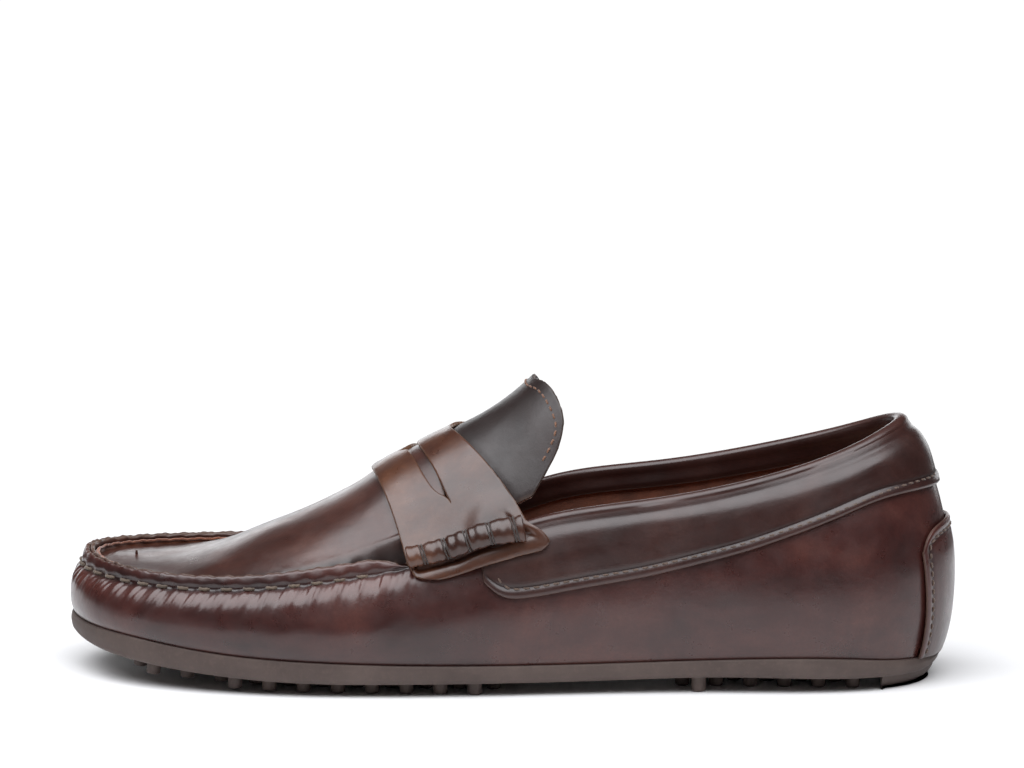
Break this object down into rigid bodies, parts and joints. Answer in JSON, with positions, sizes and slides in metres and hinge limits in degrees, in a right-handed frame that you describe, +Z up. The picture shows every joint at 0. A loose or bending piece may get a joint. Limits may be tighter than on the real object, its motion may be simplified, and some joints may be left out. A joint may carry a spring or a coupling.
{
  "type": "driving moccasin",
  "caption": "Brown leather penny driving moccasin for the left foot, with saddle strap, beef rolls, soft collar, liftable tongue and studded rubber sole.",
  "frame": {"origin": "middle of the shoe's own box, on the ground under the sole", "axes": "+X towards the heel, -X towards the toe, -Y towards the lateral (outer) side of the foot, +Z up"},
  "size_m": [0.2916, 0.1022, 0.098],
  "materials": {
    "sole_rubber": "matte moulded rubber",
    "wrap_leather": "waxed pull-up leather, polished",
    "apron_leather": "waxed pull-up leather, soft sheen",
    "strap_leather": "waxed pull-up leather, lighter cut edges",
    "dark_leather": "waxed pull-up leather, burnished dark",
    "collar_leather": "soft waxed leather",
    "waxed_thread": "waxed thread",
    "suede_lining": "suede nap",
    "smooth_lining": "smooth lining leather",
    "soft_foam": "soft foam",
    "fibre_board": "fibre board"
  },
  "bodies": {
    "shoe": {"outsole": "sole_rubber", "forefoot_studs": "sole_rubber", "heel_studs": "sole_rubber", "moccasin_wrap": "wrap_leather", "heel_patch": "wrap_leather", "apron": "apron_leather", "saddle_strap": "strap_leather", "beef_roll_lateral": "strap_leather", "beef_roll_medial": "strap_leather", "collar": "collar_leather", "apron_stitching": "waxed_thread", "roll_thread_lateral": "waxed_thread", "roll_thread_medial": "waxed_thread", "collar_stitching": "waxed_thread", "heel_patch_stitching": "waxed_thread", "apron_lining": "suede_lining", "vamp_lining": "suede_lining", "quarter_lining_lateral": "suede_lining", "quarter_lining_medial": "suede_lining", "heel_lining": "smooth_lining", "sock_liner": "smooth_lining", "collar_padding": "soft_foam", "footbed_foam": "soft_foam", "heel_counter": "fibre_board", "insole_board": "fibre_board"},
    "tongue_flap": {"tongue": "dark_leather", "tongue_lining": "suede_lining", "tongue_stitching": "waxed_thread"}
  },
  "joints": [
    {"name": "tongue_lift", "type": "hinge", "parent": "shoe", "child": "tongue_flap", "pos_m": [-0.0203, 0, 0.08], "axis": [0, -1, 0], "range_deg": [0, 18], "stiffness_Nm_per_rad": 0.12}
  ]
}
